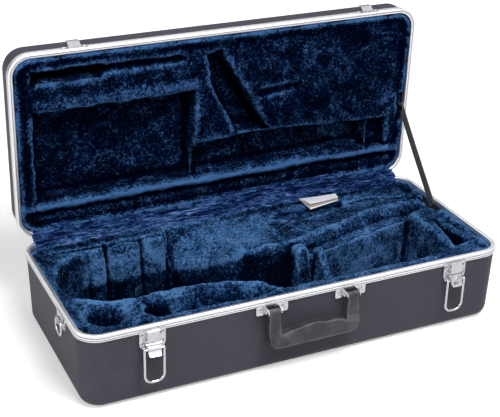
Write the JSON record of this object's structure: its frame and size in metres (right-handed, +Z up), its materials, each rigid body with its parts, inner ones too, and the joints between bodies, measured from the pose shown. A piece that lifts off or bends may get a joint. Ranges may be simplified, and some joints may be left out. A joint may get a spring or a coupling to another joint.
{
  "type": "instrument case",
  "caption": "Rectangular moulded case with a hinged lid, metal rims, wire draw latches, a carrying handle and a plush lining shaped for a wind instrument.",
  "frame": {"origin": "centre of the flat bottom of the base, with the lid open", "axes": "+X to the right along the front, +Y to the back where the hinges are, +Z up"},
  "size_m": [0.657, 0.3493, 0.4019],
  "materials": {
    "shell": "satin",
    "rim": "satin",
    "handle": "satin",
    "webbing": "matte",
    "cover_strip": "matte",
    "tag": "satin",
    "lining": "matte",
    "hinge_steel": "satin",
    "fastener": "polished",
    "bright_plating": "polished"
  },
  "bodies": {
    "base": {"base_divider": "lining", "base_floor_pad": "lining", "base_front_pad": "lining", "base_front_rail": "lining", "base_left_pad": "lining", "base_rear_pad": "lining", "base_right_pad": "lining", "base_rim": "rim", "base_rim_splice": "rim", "base_shell": "shell", "care_tag": "tag", "handle_brackets": "bright_plating", "handle_pins": "fastener", "handle_rivets": "fastener", "hinge_base_leaves": "hinge_steel", "hinge_base_rivets": "hinge_steel", "hinge_cover_strip": "cover_strip", "hinge_pins": "hinge_steel", "latch_left_cover": "bright_plating", "latch_left_pin": "fastener", "latch_left_plate": "bright_plating", "latch_left_rivets": "fastener", "latch_right_cover": "bright_plating", "latch_right_pin": "fastener", "latch_right_plate": "bright_plating", "latch_right_rivets": "fastener", "rear_bolsters": "lining", "ring_left_plate": "bright_plating", "ring_left_rivets": "fastener", "ring_right_plate": "bright_plating", "ring_right_rivets": "fastener", "stay_anchor_base": "fastener", "stay_strap": "webbing"},
    "lid": {"lid_catch_rivets": "fastener", "lid_catches": "bright_plating", "lid_edge_pads": "lining", "lid_lower_roll": "lining", "lid_neck_pad": "lining", "lid_right_pad": "lining", "lid_rim": "rim", "lid_rim_splice": "rim", "lid_shell": "shell", "lid_top_pad": "lining", "lid_wedge_pad": "lining", "hinge_lid_leaves": "hinge_steel", "hinge_lid_rivets": "hinge_steel", "stay_anchor_lid": "fastener"},
    "handle": {"handle": "handle"},
    "latch_left_lever": {"latch_left_lever": "bright_plating"},
    "latch_left_bail": {"latch_left_bail": "bright_plating"},
    "latch_right_lever": {"latch_right_lever": "bright_plating"},
    "latch_right_bail": {"latch_right_bail": "bright_plating"},
    "ring_left": {"ring_left": "bright_plating"},
    "ring_right": {"ring_right": "bright_plating"}
  },
  "joints": [
    {"name": "lid_hinge", "type": "hinge", "parent": "base", "child": "lid", "pos_m": [0, 0.1428, 0.1122], "axis": [1, 0, 0], "range_deg": [0, 89], "deforming": ["stay_strap", "hinge_cover_strip"]},
    {"name": "handle_swing", "type": "hinge", "parent": "base", "child": "handle", "pos_m": [0.0055, -0.147, 0.099], "axis": [-1, 0, 0], "range_deg": [0, 130]},
    {"name": "latch_left_lever_pivot", "type": "hinge", "parent": "base", "child": "latch_left_lever", "pos_m": [-0.2245, -0.1438, 0.089], "axis": [1, 0, 0], "range_deg": [-90, 0]},
    {"name": "latch_left_bail_pivot", "type": "hinge", "parent": "latch_left_lever", "child": "latch_left_bail", "pos_m": [-0.2245, -0.1464, 0.0836], "axis": [-1, 0, 0], "range_deg": [-8, 183.9]},
    {"name": "latch_right_lever_pivot", "type": "hinge", "parent": "base", "child": "latch_right_lever", "pos_m": [0.2355, -0.1438, 0.089], "axis": [1, 0, 0], "range_deg": [-90, 0]},
    {"name": "latch_right_bail_pivot", "type": "hinge", "parent": "latch_right_lever", "child": "latch_right_bail", "pos_m": [0.2355, -0.1464, 0.0836], "axis": [-1, 0, 0], "range_deg": [-8, 183.9]},
    {"name": "ring_left_pivot", "type": "hinge", "parent": "base", "child": "ring_left", "pos_m": [-0.3252, -0.062, 0.1025], "axis": [0, 1, 0], "range_deg": [0, 150]},
    {"name": "ring_right_pivot", "type": "hinge", "parent": "base", "child": "ring_right", "pos_m": [0.3252, -0.062, 0.1025], "axis": [0, -1, 0], "range_deg": [0, 150]}
  ]
}
